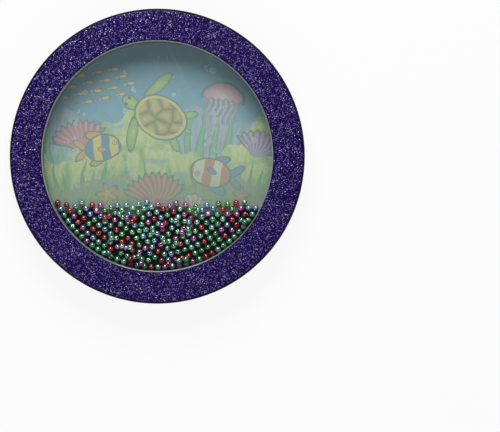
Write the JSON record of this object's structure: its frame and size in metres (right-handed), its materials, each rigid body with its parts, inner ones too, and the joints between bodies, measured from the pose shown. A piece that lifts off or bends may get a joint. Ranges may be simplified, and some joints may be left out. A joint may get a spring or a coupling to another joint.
{
  "type": "ocean drum",
  "caption": "Flat round hand drum with a clear head over a printed head, wide glitter rims and loose metallic beads that roll between the heads like surf.",
  "frame": {"origin": "centre of the back rim's face, on the surface that the drum lies on", "axes": "+Z along the axis of the drum, from the printed head to the clear head; the beads have run to the -Y side"},
  "size_m": [0.254, 0.254, 0.038],
  "materials": {
    "glitter_rim": "deep purple plastic full of fine glitter flakes",
    "glitter_wrap": "purple glitter covering film",
    "lip_satin": "pale grey satin plastic",
    "clear_film": "clear glossy drum film",
    "printed_film": "drum film printed with a sea scene",
    "hoop_metal": "plain drawn section",
    "shell_wood": "bent plywood, unfinished inside",
    "block_wood": "sawn, unfinished",
    "fence_plastic": "smooth slate-grey strip",
    "gasket_foam": "double-sided foam tape",
    "bead_green": "pearl bead with a metallic coat, pierced",
    "bead_sea_green": "pearl bead with a metallic coat, pierced",
    "bead_red": "pearl bead with a metallic coat, pierced",
    "bead_magenta": "pearl bead with a metallic coat, pierced",
    "bead_blue": "pearl bead with a metallic coat, pierced"
  },
  "bodies": {
    "drum": {"shell": "shell_wood", "shell_wrap": "glitter_wrap", "bead_fence": "fence_plastic", "fence_blocks": "block_wood", "front_rim": "glitter_rim", "front_lip": "lip_satin", "front_gasket": "gasket_foam", "clear_head": "clear_film", "clear_head_hoop": "hoop_metal", "back_rim": "glitter_rim", "back_lip": "lip_satin", "back_gasket": "gasket_foam", "printed_head": "printed_film", "printed_head_hoop": "hoop_metal"},
    "bead_pile": {"green_beads": "bead_green", "sea_green_beads": "bead_sea_green", "red_beads": "bead_red", "magenta_beads": "bead_magenta", "blue_beads": "bead_blue"},
    "rolling_bead_1": {"rolling_bead_1": "bead_red"},
    "rolling_bead_2": {"rolling_bead_2": "bead_magenta"},
    "rolling_bead_3": {"rolling_bead_3": "bead_green"},
    "hopping_bead_1": {"hopping_bead_1": "bead_sea_green"},
    "hopping_bead_2": {"hopping_bead_2": "bead_blue"}
  },
  "joints": [
    {"name": "bead_sweep", "type": "hinge", "parent": "drum", "child": "bead_pile", "pos_m": [0, 0, 0.019], "axis": [0, 0, 1], "continuous": true},
    {"name": "rolling_travel_1", "type": "slide", "parent": "bead_pile", "child": "rolling_bead_1", "axis": [0, 1, 0], "range_m": [0, 0.1191]},
    {"name": "rolling_travel_2", "type": "slide", "parent": "bead_pile", "child": "rolling_bead_2", "axis": [0, 1, 0], "range_m": [0, 0.1374]},
    {"name": "rolling_travel_3", "type": "slide", "parent": "bead_pile", "child": "rolling_bead_3", "axis": [0, 1, 0], "range_m": [0, 0.121]},
    {"name": "hopping_travel_1", "type": "slide", "parent": "bead_pile", "child": "hopping_bead_1", "axis": [0, 0, 1], "range_m": [0, 0.0157]},
    {"name": "hopping_travel_2", "type": "slide", "parent": "bead_pile", "child": "hopping_bead_2", "axis": [0, 0, 1], "range_m": [0, 0.0154]}
  ]
}
